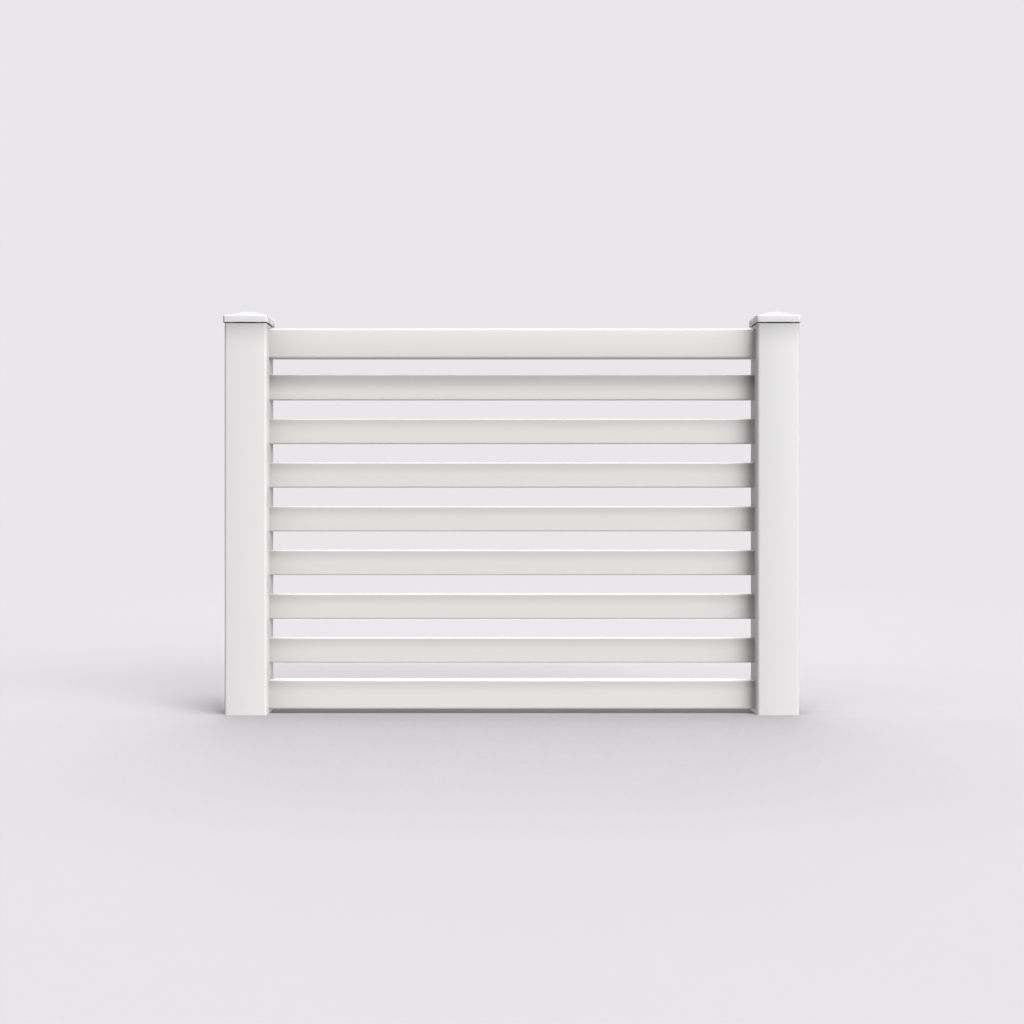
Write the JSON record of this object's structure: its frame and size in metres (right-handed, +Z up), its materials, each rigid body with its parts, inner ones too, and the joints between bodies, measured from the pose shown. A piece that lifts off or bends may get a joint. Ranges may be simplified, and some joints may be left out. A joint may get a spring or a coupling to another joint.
{
  "type": "horizontal picket fence section",
  "caption": "White vinyl fence section: two hollow square posts with low pyramid caps, a top and a bottom rail, and level pickets routed into the posts.",
  "frame": {"origin": "on the ground, midway between the two posts and midway through their depth", "axes": "+X along the fence to the right, +Y from the front face to the back, +Z up"},
  "size_m": [1.7364, 0.1362, 1.2192],
  "materials": {
    "post_vinyl": "satin extruded white vinyl",
    "rail_vinyl": "satin extruded white vinyl",
    "picket_vinyl": "satin extruded white vinyl",
    "cap_vinyl": "satin moulded white vinyl",
    "ring_aluminium": "mill finish stamped sheet",
    "stiffener_steel": "galvanised"
  },
  "bodies": {
    "fence": {"left_post": "post_vinyl", "right_post": "post_vinyl", "top_rail": "rail_vinyl", "bottom_rail": "rail_vinyl", "picket_1": "picket_vinyl", "picket_2": "picket_vinyl", "picket_3": "picket_vinyl", "picket_4": "picket_vinyl", "picket_5": "picket_vinyl", "picket_6": "picket_vinyl", "picket_7": "picket_vinyl", "top_left_lock_ring": "ring_aluminium", "top_right_lock_ring": "ring_aluminium", "bottom_left_lock_ring": "ring_aluminium", "bottom_right_lock_ring": "ring_aluminium", "bottom_rail_stiffener": "stiffener_steel"},
    "left_cap": {"left_post_cap": "cap_vinyl"},
    "right_cap": {"right_post_cap": "cap_vinyl"}
  },
  "joints": [
    {"name": "left_cap_lift", "type": "slide", "parent": "fence", "child": "left_cap", "axis": [0, 0, 1], "range_m": [0, 0.05]},
    {"name": "right_cap_lift", "type": "slide", "parent": "fence", "child": "right_cap", "axis": [0, 0, 1], "range_m": [0, 0.05]}
  ]
}
